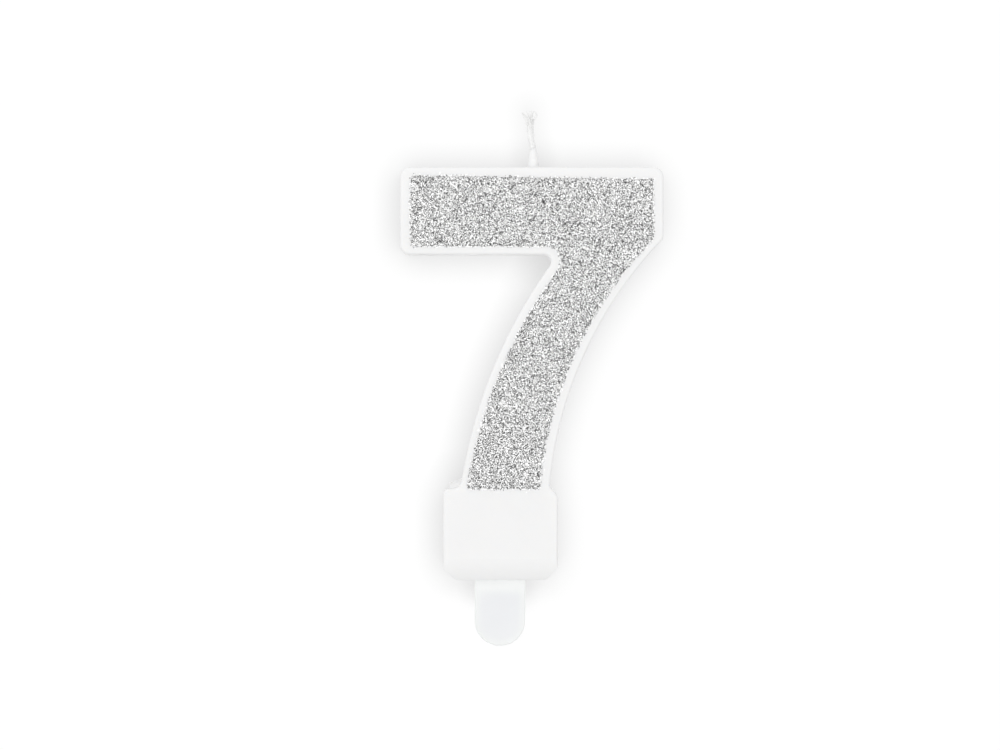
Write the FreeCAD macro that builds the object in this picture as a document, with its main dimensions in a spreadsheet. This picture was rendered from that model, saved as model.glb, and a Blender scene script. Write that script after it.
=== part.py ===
"""Number seven birthday candle: a wax digit on a plinth, with a glitter front, a wick and a cake pick.

Units are millimetres. +Z is up, +X is to the right seen from the front, and the front faces -Y.
The origin is the middle of the plinth's underside, the face that rests on the icing.
"""

import FreeCAD
import Part
import Sketcher

import math
import os
from typing import NamedTuple

PARTS_FOLDER = "parts"
NEAR = 0.001  # places closer than this are the same place
STRANDS = 3

# Name, value in millimetres or degrees, and what it is.
SIZES = (
    ("wax_height", 70.0, "plinth's underside to the top of the bar"),
    ("wax_depth", 10.0, "front face to back face"),
    ("bar_left", 16.95, "axis to the bar's left end"),
    ("bar_right", 27.72, "axis to the bar's right end"),
    ("bar_height", 14.8, "bar's top to its underside"),
    ("flank_height", 12.1, "straight right end of the bar, above the stem's outer curve"),
    ("notch_right", 9.83, "axis to the corner where the bar meets the stem"),
    ("stem_left", 6.7, "axis to the stem's left side, at the plinth"),
    ("stem_right", 8.44, "axis to the stem's right side, at the plinth"),
    ("outer_curve_radius", 69.5, "stem's right side, hollow"),
    ("inner_curve_radius", 85.2, "stem's left side, bulging"),
    ("left_shoulder", 2.95, "plinth's top, left of the stem"),
    ("right_shoulder", 1.4, "plinth's sloping top, right of the stem"),
    ("right_shoulder_rise", 0.4, "upper end of that slope, above the left shoulder"),
    ("right_shoulder_fall", 1.3, "lower end of that slope, below the left shoulder"),
    ("plinth_height", 15.5, "underside to the left shoulder"),
    ("plinth_chamfer", 2.0, "plinth's lower corners, each way"),
    ("bar_corner_radius", 1.65, "bar's upper corners and lower left corner"),
    ("flank_corner_radius", 1.0, "corner where the bar's right end meets the outer curve"),
    ("notch_radius", 1.2, "hollow corner between the bar and the stem"),
    ("left_shoulder_radius", 1.05, "plinth's upper left corner"),
    ("right_shoulder_radius", 1.4, "plinth's upper right corner"),
    ("left_root_radius", 1.7, "hollow corner between the stem and the left shoulder"),
    ("right_root_radius", 0.6, "hollow corner between the stem and the right shoulder"),
    ("web_rise", 2.0, "web between the left shoulder and the stem, up to its root in the stem"),
    ("web_tail_rise", 0.95, "that web, up to its tail on the shoulder"),
    ("web_inset", 1.5, "that web, behind the front face and before the back face"),
    ("web_edge_radius", 1.1, "rounding along the web's front and back edges"),
    ("foot_corner_radius", 1.0, "corners between the plinth's chamfers and its underside"),
    ("edge_radius", 0.4, "rounding all round the front and back faces"),
    ("foot_radius", 6.0, "curve by which the plinth's front and back draw in towards the foot"),
    ("foot_height", 3.6, "underside to where that curve starts"),
    ("rim_left", 1.85, "plain wax left of the glitter of the bar"),
    ("rim_right", 1.76, "plain wax right of the glitter of the bar"),
    ("rim_below", 1.42, "plain wax below the glitter of the bar"),
    ("rim_top_left", 1.42, "plain wax above the glitter, at its left end"),
    ("rim_top_right", 2.1, "plain wax above the glitter, at its right end"),
    ("notch_rim", 3.2, "notch to the field's corner beside it, sideways"),
    ("left_foot_rim", 1.2, "plain wax left of the glitter, at the plinth"),
    ("right_foot_rim", 1.82, "plain wax right of the glitter, at the plinth"),
    ("field_corner_radius", 0.4, "corners of the glitter field"),
    ("recess_depth", 0.5, "front face to the floor of the glitter field"),
    ("glue_thickness", 0.12, "film of clear glue that holds the glitter"),
    ("glitter_thickness", 0.22, "layer of glitter on the glue"),
    ("layer_gap", 0.02, "edge of a layer to the wall of the field"),
    ("pick_width", 8.58, "side to side"),
    ("pick_thickness", 1.8, "front to back"),
    ("pick_reach", 11.35, "plinth's underside to the pick's round tip"),
    ("pick_tang", 9.5, "length of pick cast into the plinth"),
    ("pick_edge_radius", 0.2, "rounding along the pick's edges"),
    ("anchor_bore", 3.2, "diameter of the hole in the tang, which the wax fills"),
    ("anchor_height", 5.2, "plinth's underside to the middle of that hole"),
    ("wick_right", 5.65, "axis to the wick where it leaves the bar"),
    ("wick_lean", 4.5, "degrees from upright, to the left"),
    ("wick_reach", 10.0, "top of the bar to the wick's end, along the wick"),
    ("wick_depth", 11.0, "length of wick in the bar"),
    ("wick_lay", 5.0, "length of one turn of the strands"),
    ("strand_diameter", 0.53, "one strand of cotton"),
    ("strand_gap", 0.01, "between neighbouring strands"),
    ("wick_clearance", 0.02, "round the strands, in the wick's hole"),
    ("seal_width", 2.3, "drop of wax round the wick, where it lies on the bar"),
    ("seal_lip", 0.1, "wall of the drop at its upper end"),
    ("seal_height", 3.2, "height of the drop up the wick"),
    ("seal_sink", 0.3, "depth of the drop's foot in the bar"),
)

# Sizes that follow from the ones above.
PLINTH_LEFT = "(sizes.stem_left + sizes.left_shoulder)"
PLINTH_RIGHT = "(sizes.stem_right + sizes.right_shoulder)"
BAR_UNDERSIDE = "(sizes.wax_height - sizes.bar_height)"
FLANK_BOTTOM = "(sizes.wax_height - sizes.flank_height)"
STRAND_OFFSET = f"((sizes.strand_diameter + sizes.strand_gap) / (2 * sin(180 deg / {STRANDS})))"
HOLE_RADIUS = f"({STRAND_OFFSET} + sizes.strand_diameter / 2 + sizes.wick_clearance)"
# A rounding never takes more than its wall has.
EDGE_RADIUS = "min(sizes.edge_radius; 0.9 * sizes.flank_corner_radius; 0.9 * sizes.foot_corner_radius)"
LEFT_SHOULDER_RADIUS = "min(sizes.left_shoulder_radius; 0.36 * sizes.left_shoulder)"
LEFT_ROOT_RADIUS = "min(sizes.left_root_radius; 0.58 * sizes.left_shoulder)"
RIGHT_SHOULDER_TOP = "(sizes.plinth_height + sizes.right_shoulder_rise)"
RIGHT_SHOULDER_BOTTOM = "(sizes.plinth_height - sizes.right_shoulder_fall)"
PICK_EDGE_RADIUS = "min(sizes.pick_edge_radius; 0.45 * sizes.pick_thickness)"


class Corner(NamedTuple):
    """A corner of an outline that is drawn clockwise, and the side from it to the next corner."""

    across: str
    up: str
    radius: str = ""  # of the side; a straight side has none
    hollow: bool = False


def make_sheet(doc):
    """The spreadsheet that drives every size."""
    sheet = doc.addObject("Spreadsheet::Sheet", "sizes")
    for row, (name, value, meaning) in enumerate(SIZES, start=1):
        sheet.set(f"A{row}", name)
        sheet.set(f"B{row}", str(value))
        sheet.set(f"C{row}", meaning)
        sheet.setAlias(f"B{row}", name)
    doc.recompute()


def number(thing, expression):
    """The value that an expression over the sheet has now."""
    return float(thing.evalExpression(expression))


def bind(thing, **expressions):
    """Binds properties to expressions. In a property's name, a double underscore stands for a dot."""
    for name, expression in expressions.items():
        thing.setExpression(name.replace("__", "."), expression)


def origin_plane(body, role):
    """The body's own origin plane with this role."""
    return next(plane for plane in body.Origin.OriginFeatures if plane.Role == role)


def new_body(doc, label):
    """An empty body with this label."""
    body = doc.addObject("PartDesign::Body", label)
    body.Label = label
    return body


def new_sketch(body, name, role, height="0"):
    """An empty sketch, parallel to one of the body's origin planes and this high above it."""
    sketch = body.newObject("Sketcher::SketchObject", name)
    sketch.AttachmentSupport = (origin_plane(body, role), [""])
    sketch.MapMode = "FlatFace"
    bind(sketch, AttachmentOffset__Base__z=height)
    return sketch


def dimension(sketch, kind, *geometry, expression):
    """Adds a dimension to a sketch and binds it to an expression."""
    index = sketch.addConstraint(Sketcher.Constraint(kind, *geometry, number(sketch, expression)))
    sketch.setExpression(f"Constraints[{index}]", expression)


def make_side(start, finish, radius, hollow):
    """The line or arc from one corner of a clockwise outline to the next."""
    if not radius:
        return Part.LineSegment(start, finish)
    chord = finish - start
    inward = FreeCAD.Vector(chord.y, -chord.x, 0).normalize()
    bow = radius - math.sqrt(radius**2 - (chord.Length / 2) ** 2)
    middle = (start + finish) / 2 + inward * (bow if hollow else -bow)
    return Part.Arc(start, middle, finish)


def draw_outline(sketch, corners):
    """Draws a closed outline through the corners, with its places and radii bound to the sheet."""
    places = [FreeCAD.Vector(number(sketch, c.across), number(sketch, c.up), 0) for c in corners]
    ends = []
    for corner, start, finish in zip(corners, places, places[1:] + places[:1]):
        radius = number(sketch, corner.radius) if corner.radius else 0
        side = sketch.addGeometry(make_side(start, finish, radius, corner.hollow), False)
        forward = sketch.getPoint(side, 1).distanceToPoint(start) < NEAR
        ends.append((side, 1, 2) if forward else (side, 2, 1))
    for corner, (side, first, _), (previous, _, last) in zip(corners, ends, ends[-1:] + ends[:-1]):
        sketch.addConstraint(Sketcher.Constraint("Coincident", previous, last, side, first))
        dimension(sketch, "DistanceX", -1, 1, side, first, expression=corner.across)
        dimension(sketch, "DistanceY", -1, 1, side, first, expression=corner.up)
        if corner.radius:
            dimension(sketch, "Radius", side, expression=corner.radius)


def draw_circle(sketch, radius, across="0", up="0"):
    """Draws a circle with its size and place bound to the sheet."""
    middle = FreeCAD.Vector(number(sketch, across), number(sketch, up), 0)
    circle = Part.Circle(middle, FreeCAD.Vector(0, 0, 1), number(sketch, radius))
    ring = sketch.addGeometry(circle, False)
    dimension(sketch, "DistanceX", -1, 1, ring, 3, expression=across)
    dimension(sketch, "DistanceY", -1, 1, ring, 3, expression=up)
    dimension(sketch, "Radius", ring, expression=radius)


def add_feature(body, kind, name, sketch, side_type="One side", **expressions):
    """Pads, pockets or revolves a sketch, with the feature's sizes bound to the sheet."""
    feature = body.newObject(f"PartDesign::{kind}", name)
    feature.Profile = sketch
    if kind in ("Pad", "Pocket"):
        feature.SideType = side_type
    bind(feature, **expressions)
    body.Document.recompute()
    return feature


def round_edges(body, name, radius, chosen):
    """Rounds the edges of the body's last feature that the test chooses."""
    base = body.Tip
    edges = [f"Edge{n}" for n, edge in enumerate(base.Shape.Edges, start=1) if chosen(edge)]
    if not edges:
        raise ValueError(f"{name} finds no edges")
    fillet = body.newObject("PartDesign::Fillet", name)
    fillet.Base = (base, edges)
    bind(fillet, Radius=radius)
    body.Document.recompute()


def runs_front_to_back(body, corners):
    """A test for the edges that run from front to back at these corners."""
    places = [FreeCAD.Vector(number(body, across), 0, number(body, up)) for across, up in corners]

    def chosen(edge):
        box = edge.BoundBox
        if box.XLength > NEAR or box.ZLength > NEAR:
            return False
        foot = FreeCAD.Vector(box.XMin, 0, box.ZMin)
        return any(foot.distanceToPoint(place) < NEAR for place in places)

    return chosen


def lies_on_a_face(half_depth):
    """A test for the edges that border the front or the back face."""

    def chosen(edge):
        box = edge.BoundBox
        return box.YLength < NEAR and abs(abs(box.YMin) - half_depth) < NEAR

    return chosen


def digit_outline():
    """The outline of the digit and its plinth, from the bar's upper left corner."""
    return [
        Corner("-sizes.bar_left", "sizes.wax_height"),
        Corner("sizes.bar_right", "sizes.wax_height"),
        Corner("sizes.bar_right", FLANK_BOTTOM, "sizes.outer_curve_radius", hollow=True),
        Corner("sizes.stem_right", RIGHT_SHOULDER_TOP),
        Corner(PLINTH_RIGHT, RIGHT_SHOULDER_BOTTOM),
        Corner(PLINTH_RIGHT, "sizes.plinth_chamfer"),
        Corner(f"{PLINTH_RIGHT} - sizes.plinth_chamfer", "0"),
        Corner(f"sizes.plinth_chamfer - {PLINTH_LEFT}", "0"),
        Corner(f"-{PLINTH_LEFT}", "sizes.plinth_chamfer"),
        Corner(f"-{PLINTH_LEFT}", "sizes.plinth_height"),
        Corner("-sizes.stem_left", "sizes.plinth_height", "sizes.inner_curve_radius"),
        Corner("sizes.notch_right", BAR_UNDERSIDE),
        Corner("-sizes.bar_left", BAR_UNDERSIDE),
    ]


def field_outline(inset="0"):
    """The outline of the glitter field, or of a layer that stands back from its wall by the inset."""
    left = f"sizes.rim_left + {inset} - sizes.bar_left"
    right = f"sizes.bar_right - sizes.rim_right - {inset}"
    bottom = f"sizes.plinth_height + {inset}"
    underside = f"{BAR_UNDERSIDE} + sizes.rim_below + {inset}"
    outer_radius = f"sizes.outer_curve_radius + {inset}"
    inner_radius = f"sizes.inner_curve_radius - {inset}"
    return [
        Corner(left, f"sizes.wax_height - sizes.rim_top_left - {inset}"),
        Corner(right, f"sizes.wax_height - sizes.rim_top_right - {inset}"),
        Corner(right, FLANK_BOTTOM, outer_radius, hollow=True),
        Corner(f"sizes.stem_right - sizes.right_foot_rim - {inset}", bottom),
        Corner(f"sizes.left_foot_rim + {inset} - sizes.stem_left", bottom, inner_radius),
        Corner(f"sizes.notch_right + sizes.notch_rim + {inset}", underside),
        Corner(left, underside),
    ]


def round_field_corners(body, outline):
    """Rounds the corners of the field, or of a layer in it."""
    corners = [(corner.across, corner.up) for corner in outline]
    notch = corners.pop(5)
    round_edges(body, "field_corners", "sizes.field_corner_radius", runs_front_to_back(body, corners))
    radius = "sizes.notch_radius + sizes.rim_below"
    round_edges(body, "field_notch", radius, runs_front_to_back(body, [notch]))


def round_digit_corners(body):
    """Rounds the corners of the digit and the plinth, seen from the front."""
    roundings = (
        ("bar_corners", "sizes.bar_corner_radius", [
            ("-sizes.bar_left", "sizes.wax_height"),
            ("sizes.bar_right", "sizes.wax_height"),
            ("-sizes.bar_left", BAR_UNDERSIDE),
        ]),
        ("flank_corner", "sizes.flank_corner_radius", [("sizes.bar_right", FLANK_BOTTOM)]),
        ("notch", "sizes.notch_radius", [("sizes.notch_right", BAR_UNDERSIDE)]),
        ("left_shoulder", LEFT_SHOULDER_RADIUS, [(f"-{PLINTH_LEFT}", "sizes.plinth_height")]),
        ("right_shoulder", "sizes.right_shoulder_radius", [(PLINTH_RIGHT, RIGHT_SHOULDER_BOTTOM)]),
        ("foot_corners", "sizes.foot_corner_radius", [
            (f"{PLINTH_RIGHT} - sizes.plinth_chamfer", "0"),
            (f"sizes.plinth_chamfer - {PLINTH_LEFT}", "0"),
        ]),
        ("left_root", LEFT_ROOT_RADIUS, [("-sizes.stem_left", "sizes.plinth_height")]),
        ("right_root", "sizes.right_root_radius", [("sizes.stem_right", RIGHT_SHOULDER_TOP)]),
    )
    for name, radius, corners in roundings:
        round_edges(body, name, radius, runs_front_to_back(body, corners))


def draw_web(body, name, across, top):
    """Draws the web's section at this place, as high as this."""
    sketch = new_sketch(body, name, "YZ_Plane", across)
    half, radius = "(sizes.wax_depth / 2 - sizes.web_inset)", "sizes.web_edge_radius"
    bottom = "sizes.plinth_height - sizes.web_rise"
    draw_outline(sketch, [
        Corner(f"-{half}", bottom),
        Corner(f"-{half}", f"{top} - {radius}", radius),
        Corner(f"{radius} - {half}", top),
        Corner(f"{half} - {radius}", top, radius),
        Corner(half, f"{top} - {radius}"),
        Corner(half, bottom),
    ])
    return sketch


def add_web(body):
    """Fills the corner between the left shoulder and the stem with a web."""
    low, high = (f"sizes.plinth_height + sizes.{rise}" for rise in ("web_tail_rise", "web_rise"))
    tail = draw_web(body, "web_tail", f"{LEFT_SHOULDER_RADIUS} - {PLINTH_LEFT}", low)
    root = draw_web(body, "web_root", "sizes.left_foot_rim - sizes.stem_left", high)
    web = body.newObject("PartDesign::AdditiveLoft", "web")
    web.Profile = tail
    web.Sections = [root]
    web.Ruled = True
    body.Document.recompute()


def round_foot(body):
    """Draws the plinth's front and back in towards its foot, on a curve."""
    sketch = new_sketch(body, "foot_outline", "YZ_Plane")
    half, height = "sizes.wax_depth / 2", "sizes.foot_height"
    recess = f"(sizes.foot_radius - sqrt(sizes.foot_radius ^ 2 - {height} ^ 2))"
    draw_outline(sketch, [
        Corner(f"-({half}) - {height}", f"-{height}"),
        Corner(f"-({half}) - {height}", height),
        Corner(f"-({half})", height, "sizes.foot_radius", hollow=True),
        Corner(f"{recess} - {half}", "0"),
        Corner(f"{recess} - {half}", f"-{height}"),
    ])
    draw_outline(sketch, [
        Corner(f"{half} - {recess}", f"-{height}"),
        Corner(f"{half} - {recess}", "0", "sizes.foot_radius", hollow=True),
        Corner(half, height),
        Corner(f"{half} + {height}", height),
        Corner(f"{half} + {height}", f"-{height}"),
    ])
    length = f"2 * ({PLINTH_LEFT} + {PLINTH_RIGHT})"
    add_feature(body, "Pocket", "foot", sketch, "Symmetric", Length=length)


def bore_wick_hole(body, name, radius, depth):
    """Bores a round hole along the wick, from a little above the bar down to this depth."""
    sketch = new_sketch(body, f"{name}_outline", "XY_Plane", "sizes.wax_height")
    sketch.AttachmentOffset = leaning_placement()
    bind(
        sketch,
        AttachmentOffset__Base__x="sizes.wick_right",
        AttachmentOffset__Base__z="sizes.wax_height",
        AttachmentOffset__Rotation__Angle="sizes.wick_lean",
    )
    draw_circle(sketch, radius)
    add_feature(body, "Pocket", name, sketch, "Two sides", Length=depth, Length2="sizes.seal_sink")


def leaning_placement():
    """A placement whose axis turns things to the left. Its place and angle are then bound."""
    return FreeCAD.Placement(FreeCAD.Vector(), FreeCAD.Rotation(FreeCAD.Vector(0, -1, 0), 1))


def lean_with_wick(thing, depth="0"):
    """Sets a piece that is built along +Z on the wick's axis, this deep below the bar's top."""
    thing.Placement = leaning_placement()
    bind(
        thing,
        Placement__Base__x=f"sizes.wick_right + ({depth}) * sin(sizes.wick_lean * 1 deg)",
        Placement__Base__z=f"sizes.wax_height - ({depth}) * cos(sizes.wick_lean * 1 deg)",
        Placement__Rotation__Angle="sizes.wick_lean",
    )


def make_wax_blank(doc):
    """The casting of digit and plinth, before room is made for the pick's tang."""
    body = new_body(doc, "wax_blank")
    outline = new_sketch(body, "digit_outline", "XZ_Plane")
    draw_outline(outline, digit_outline())
    add_feature(body, "Pad", "digit", outline, "Symmetric", Length="sizes.wax_depth")
    round_digit_corners(body)
    round_edges(body, "edges", EDGE_RADIUS, lies_on_a_face(number(body, "sizes.wax_depth / 2")))
    add_web(body)
    round_foot(body)
    field = new_sketch(body, "field_outline", "XZ_Plane", "sizes.wax_depth / 2")
    draw_outline(field, field_outline())
    add_feature(body, "Pocket", "field", field, Length="sizes.recess_depth")
    round_field_corners(body, field_outline())
    bore_wick_hole(body, "wick_hole", HOLE_RADIUS, "sizes.wick_depth")
    bore_wick_hole(body, "seal_seat", "sizes.seal_width / 2", "sizes.seal_sink")
    return body


def make_wax_body(doc, pick):
    """The casting, which closes round the pick's tang and fills the hole in it."""
    wax = doc.addObject("Part::Cut", "wax_body")
    wax.Label = "wax_body"
    wax.Base = make_wax_blank(doc)
    wax.Tool = pick
    return wax


def make_layer(doc, label, floor, thickness):
    """A thin layer that fills the glitter field, lying this far behind the front face."""
    body = new_body(doc, label)
    outline = field_outline("sizes.layer_gap")
    sketch = new_sketch(body, f"{label}_outline", "XZ_Plane", f"sizes.wax_depth / 2 - ({floor})")
    draw_outline(sketch, outline)
    add_feature(body, "Pad", f"{label}_layer", sketch, Length=thickness)
    round_field_corners(body, outline)
    return body


def make_pick(doc):
    """The flat plastic pick with a round tip. Its upper end, the tang, is cast into the plinth."""
    body = new_body(doc, "pick")
    half, tip_centre = "sizes.pick_width / 2", "sizes.pick_width / 2 - sizes.pick_reach"
    sketch = new_sketch(body, "pick_outline", "XZ_Plane")
    draw_outline(sketch, [
        Corner(f"-({half})", "sizes.pick_tang"),
        Corner(half, "sizes.pick_tang"),
        Corner(half, tip_centre, half),
        Corner("0", "-sizes.pick_reach", half),
        Corner(f"-({half})", tip_centre),
    ])
    draw_circle(sketch, "sizes.anchor_bore / 2", up="sizes.anchor_height")
    add_feature(body, "Pad", "blade", sketch, "Symmetric", Length="sizes.pick_thickness")
    half_thickness = number(body, "sizes.pick_thickness / 2")
    round_edges(body, "pick_edges", PICK_EDGE_RADIUS, lies_on_a_face(half_thickness))
    return body


def make_strand(doc, index):
    """One strand of cotton, which winds round the wick's axis with the others."""
    label = f"wick_strand_{index + 1}"
    turn = 360 * index / STRANDS
    length = "sizes.wick_depth + sizes.wick_reach"
    helix = doc.addObject("Part::Helix", f"{label}_route")
    helix.Placement = FreeCAD.Placement(FreeCAD.Vector(), FreeCAD.Rotation(FreeCAD.Vector(0, 0, 1), turn))
    bind(helix, Pitch="sizes.wick_lay", Height=length, Radius=STRAND_OFFSET)
    circle = doc.addObject("Part::Circle", f"{label}_section")
    bind(
        circle,
        Radius="sizes.strand_diameter / 2",
        Placement__Base__x=f"{STRAND_OFFSET} * cos({turn} deg)",
        Placement__Base__y=f"{STRAND_OFFSET} * sin({turn} deg)",
    )
    strand = doc.addObject("Part::Sweep", label)
    strand.Label = label
    strand.Sections = [circle]
    strand.Spine = (helix, ["Edge1"])
    strand.Solid = True
    strand.Frenet = True
    lean_with_wick(strand, "sizes.wick_depth")
    return strand


def make_seal(doc):
    """The drop of wax that fixes the wick, thick at the bar and thin where it ends on the wick."""
    body = new_body(doc, "wick_seal")
    foot = "sizes.seal_width / 2"
    sketch = new_sketch(body, "seal_outline", "XZ_Plane")
    draw_outline(sketch, [
        Corner(HOLE_RADIUS, "sizes.seal_height"),
        Corner(f"{HOLE_RADIUS} + sizes.seal_lip", "sizes.seal_height"),
        Corner(foot, "0"),
        Corner(foot, "-sizes.seal_sink"),
        Corner(HOLE_RADIUS, "-sizes.seal_sink"),
    ])
    drop = add_feature(body, "Revolution", "drop", sketch)
    drop.ReferenceAxis = (sketch, ["V_Axis"])
    lean_with_wick(body)
    return body


def build(doc):
    """Makes every sub-part and returns them."""
    make_sheet(doc)
    pick = make_pick(doc)
    glue_floor = "sizes.recess_depth"
    glitter_floor = "sizes.recess_depth - sizes.glue_thickness"
    pieces = [
        make_wax_body(doc, pick),
        make_layer(doc, "glitter_glue", glue_floor, "sizes.glue_thickness"),
        make_layer(doc, "glitter_coat", glitter_floor, "sizes.glitter_thickness"),
        *(make_strand(doc, index) for index in range(STRANDS)),
        make_seal(doc),
        pick,
    ]
    doc.recompute()
    return pieces


def check(doc, pieces):
    """Stops if an object failed or a piece isn't one sound solid."""
    failed = [thing.Name for thing in doc.Objects if {"Invalid", "Error"} & set(thing.State)]
    for piece in pieces:
        shape = piece.Shape
        if shape.isNull() or not shape.isValid() or len(shape.Solids) != 1:
            failed.append(piece.Label)
    if failed:
        raise RuntimeError(f"not sound: {failed}")


def write(pieces):
    """Writes each piece to its own STEP file."""
    os.makedirs(PARTS_FOLDER, exist_ok=True)
    for piece in pieces:
        piece.Shape.exportStep(os.path.join(PARTS_FOLDER, f"{piece.Label}.step"))
        print(f"{piece.Label}: {piece.Shape.Volume:.3f} mm3")


document = FreeCAD.newDocument("birthday_candle")
parts = build(document)
check(document, parts)
write(parts)
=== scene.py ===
"""Number candle: a cast wax seven with a glitter face, a cotton wick and a plastic cake pick.

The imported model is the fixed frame. Each sub-assembly below dresses its own nodes and adds what a
plain solid can't show: foil flakes, twisted cotton yarns and the wax drawn up round the wick.
"""

import logging
import math
from collections import Counter
from collections.abc import Sequence
from dataclasses import dataclass, field
from enum import Enum
from functools import cached_property, reduce

import bpy
import numpy as np
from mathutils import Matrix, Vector
from mathutils.bvhtree import BVHTree

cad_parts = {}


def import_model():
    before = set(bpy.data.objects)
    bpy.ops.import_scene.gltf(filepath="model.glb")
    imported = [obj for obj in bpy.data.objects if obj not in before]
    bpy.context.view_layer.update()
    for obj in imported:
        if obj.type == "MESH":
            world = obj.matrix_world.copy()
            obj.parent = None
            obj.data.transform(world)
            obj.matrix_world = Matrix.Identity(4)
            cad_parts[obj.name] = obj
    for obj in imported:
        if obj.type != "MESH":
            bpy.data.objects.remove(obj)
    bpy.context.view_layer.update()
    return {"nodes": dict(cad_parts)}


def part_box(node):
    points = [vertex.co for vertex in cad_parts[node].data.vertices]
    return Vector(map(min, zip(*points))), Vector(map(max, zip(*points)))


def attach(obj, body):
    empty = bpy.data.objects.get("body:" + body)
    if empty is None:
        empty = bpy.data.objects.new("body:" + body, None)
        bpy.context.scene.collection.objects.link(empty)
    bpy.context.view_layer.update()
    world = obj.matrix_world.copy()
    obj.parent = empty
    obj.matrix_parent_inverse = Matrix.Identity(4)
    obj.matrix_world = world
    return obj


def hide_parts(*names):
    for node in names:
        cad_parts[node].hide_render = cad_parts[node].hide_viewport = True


MM = 0.001
TURN = 2 * math.pi
BODY = "root"
FORWARD = np.array((0.0, -1.0, 0.0))

log = logging.getLogger("candle")

Array = np.ndarray
Material = bpy.types.Material
Node = bpy.types.Node
Thing = bpy.types.Object
Wire = bpy.types.NodeSocket
Wires = bpy.types.bpy_prop_collection
Colour = tuple[float, float, float]
Place = tuple[float, float, float]
Span = tuple[float, float]
Value = Wire | float | tuple[float, ...]
Values = dict[str | int, Value]


class Slot(Enum):
    """The record's material slots."""

    WAX = "wax"
    GLITTER = "glitter"
    WICK = "wick"


class Solid(Enum):
    """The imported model's nodes."""

    WAX_BODY = "wax_body"
    GLUE = "glitter_glue"
    COAT = "glitter_coat"
    STRAND_1 = "wick_strand_1"
    STRAND_2 = "wick_strand_2"
    STRAND_3 = "wick_strand_3"
    SEAL = "wick_seal"
    PICK = "pick"


class Kind(Enum):
    """The kinds of socket that the shared effects have."""

    NUMBER = "NodeSocketFloat"
    VECTOR = "NodeSocketVector"
    COLOUR = "NodeSocketColor"


# Shader trees


class Graph:
    """A shader tree with short ways to add, fill and join its nodes."""

    def __init__(self, tree: bpy.types.NodeTree) -> None:
        """Wires into tree."""
        self.tree = tree

    def feed(self, node: Node, values: Values) -> None:
        """Fills a node's inputs.

        Args:
            node: The node.
            values: What its inputs get, by name or index: another node's output, or a plain number,
                colour or vector.
        """
        for key, value in values.items():
            socket = node.inputs[key]
            if isinstance(value, Wire):
                self.tree.links.new(value, socket)
            else:
                socket.default_value = (*value, 1.0) if socket.type == "RGBA" else value

    def add(self, kind: str, values: Values | None = None, **options: object) -> Node:
        """Adds a node.

        Args:
            kind: The node's type name.
            values: What its inputs get.
            **options: The node's own settings.

        Returns:
            The new node.
        """
        node = self.tree.nodes.new(kind)
        for option, choice in options.items():
            setattr(node, option, choice)
        self.feed(node, values or {})
        return node

    def maths(self, operation: str, first: Value, second: Value = 0.0, clamp: bool = False) -> Wire:
        """Joins two numbers. With clamp, the result is held between 0 and 1."""
        values = {0: first, 1: second}
        return self.add("ShaderNodeMath", values, operation=operation, use_clamp=clamp).outputs[0]

    def times(self, *factors: Value) -> Wire:
        """Multiplies numbers."""
        return reduce(lambda product, factor: self.maths("MULTIPLY", product, factor), factors)

    def vector(self, operation: str, first: Value, second: Value = (0.0, 0.0, 0.0)) -> Wires:
        """Joins two vectors: Vector holds the result, or Value if it is a number."""
        return self.add("ShaderNodeVectorMath", {0: first, 1: second}, operation=operation).outputs

    def remap(self, value: Value, low: float, high: float, to_low: float = 0.0, to_high: float = 1.0) -> Wire:
        """Maps the range from low to high smoothly to that from to_low to to_high."""
        limits = {"Value": value, "From Min": low, "From Max": high, "To Min": to_low, "To Max": to_high}
        return self.add("ShaderNodeMapRange", limits, interpolation_type="SMOOTHSTEP").outputs["Result"]

    def blend(self, share: Value, first: Value, second: Value, way: str = "MIX") -> Wire:
        """Mixes two colours: the first at a share of 0, the second at a share of 1."""
        colours = {0: share, 6: first, 7: second}
        return self.add("ShaderNodeMix", colours, data_type="RGBA", blend_type=way).outputs[2]

    def noise(self, vector: Value, size: Value, detail: float) -> Wire:
        """A cloud pattern from 0 to 1, in features per metre, with a number of finer layers."""
        values = {"Vector": vector, "Scale": size, "Detail": detail, "Roughness": 0.55}
        return self.add("ShaderNodeTexNoise", values).outputs[0]

    def bump(self, height: Wire, depth: float) -> Wire:
        """A normal that follows a height pattern, which stands depth metres up where it is 1."""
        return self.add("ShaderNodeBump", {"Strength": 1.0, "Distance": depth, "Height": height}).outputs[0]


class Effect(Graph):
    """A shader group that more than one finish uses."""

    def __init__(self, name: str, inputs: dict[str, Kind], outputs: dict[str, Kind]) -> None:
        """Opens the group.

        Args:
            name: The group's name.
            inputs: Its inputs' kinds, by name.
            outputs: Its outputs' kinds, by name.
        """
        super().__init__(bpy.data.node_groups.new(name, "ShaderNodeTree"))
        for way, sockets in (("INPUT", inputs), ("OUTPUT", outputs)):
            for label, kind in sockets.items():
                self.tree.interface.new_socket(label, in_out=way, socket_type=kind.value)
        self.given = self.add("NodeGroupInput").outputs
        self.result = self.add("NodeGroupOutput")


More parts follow.
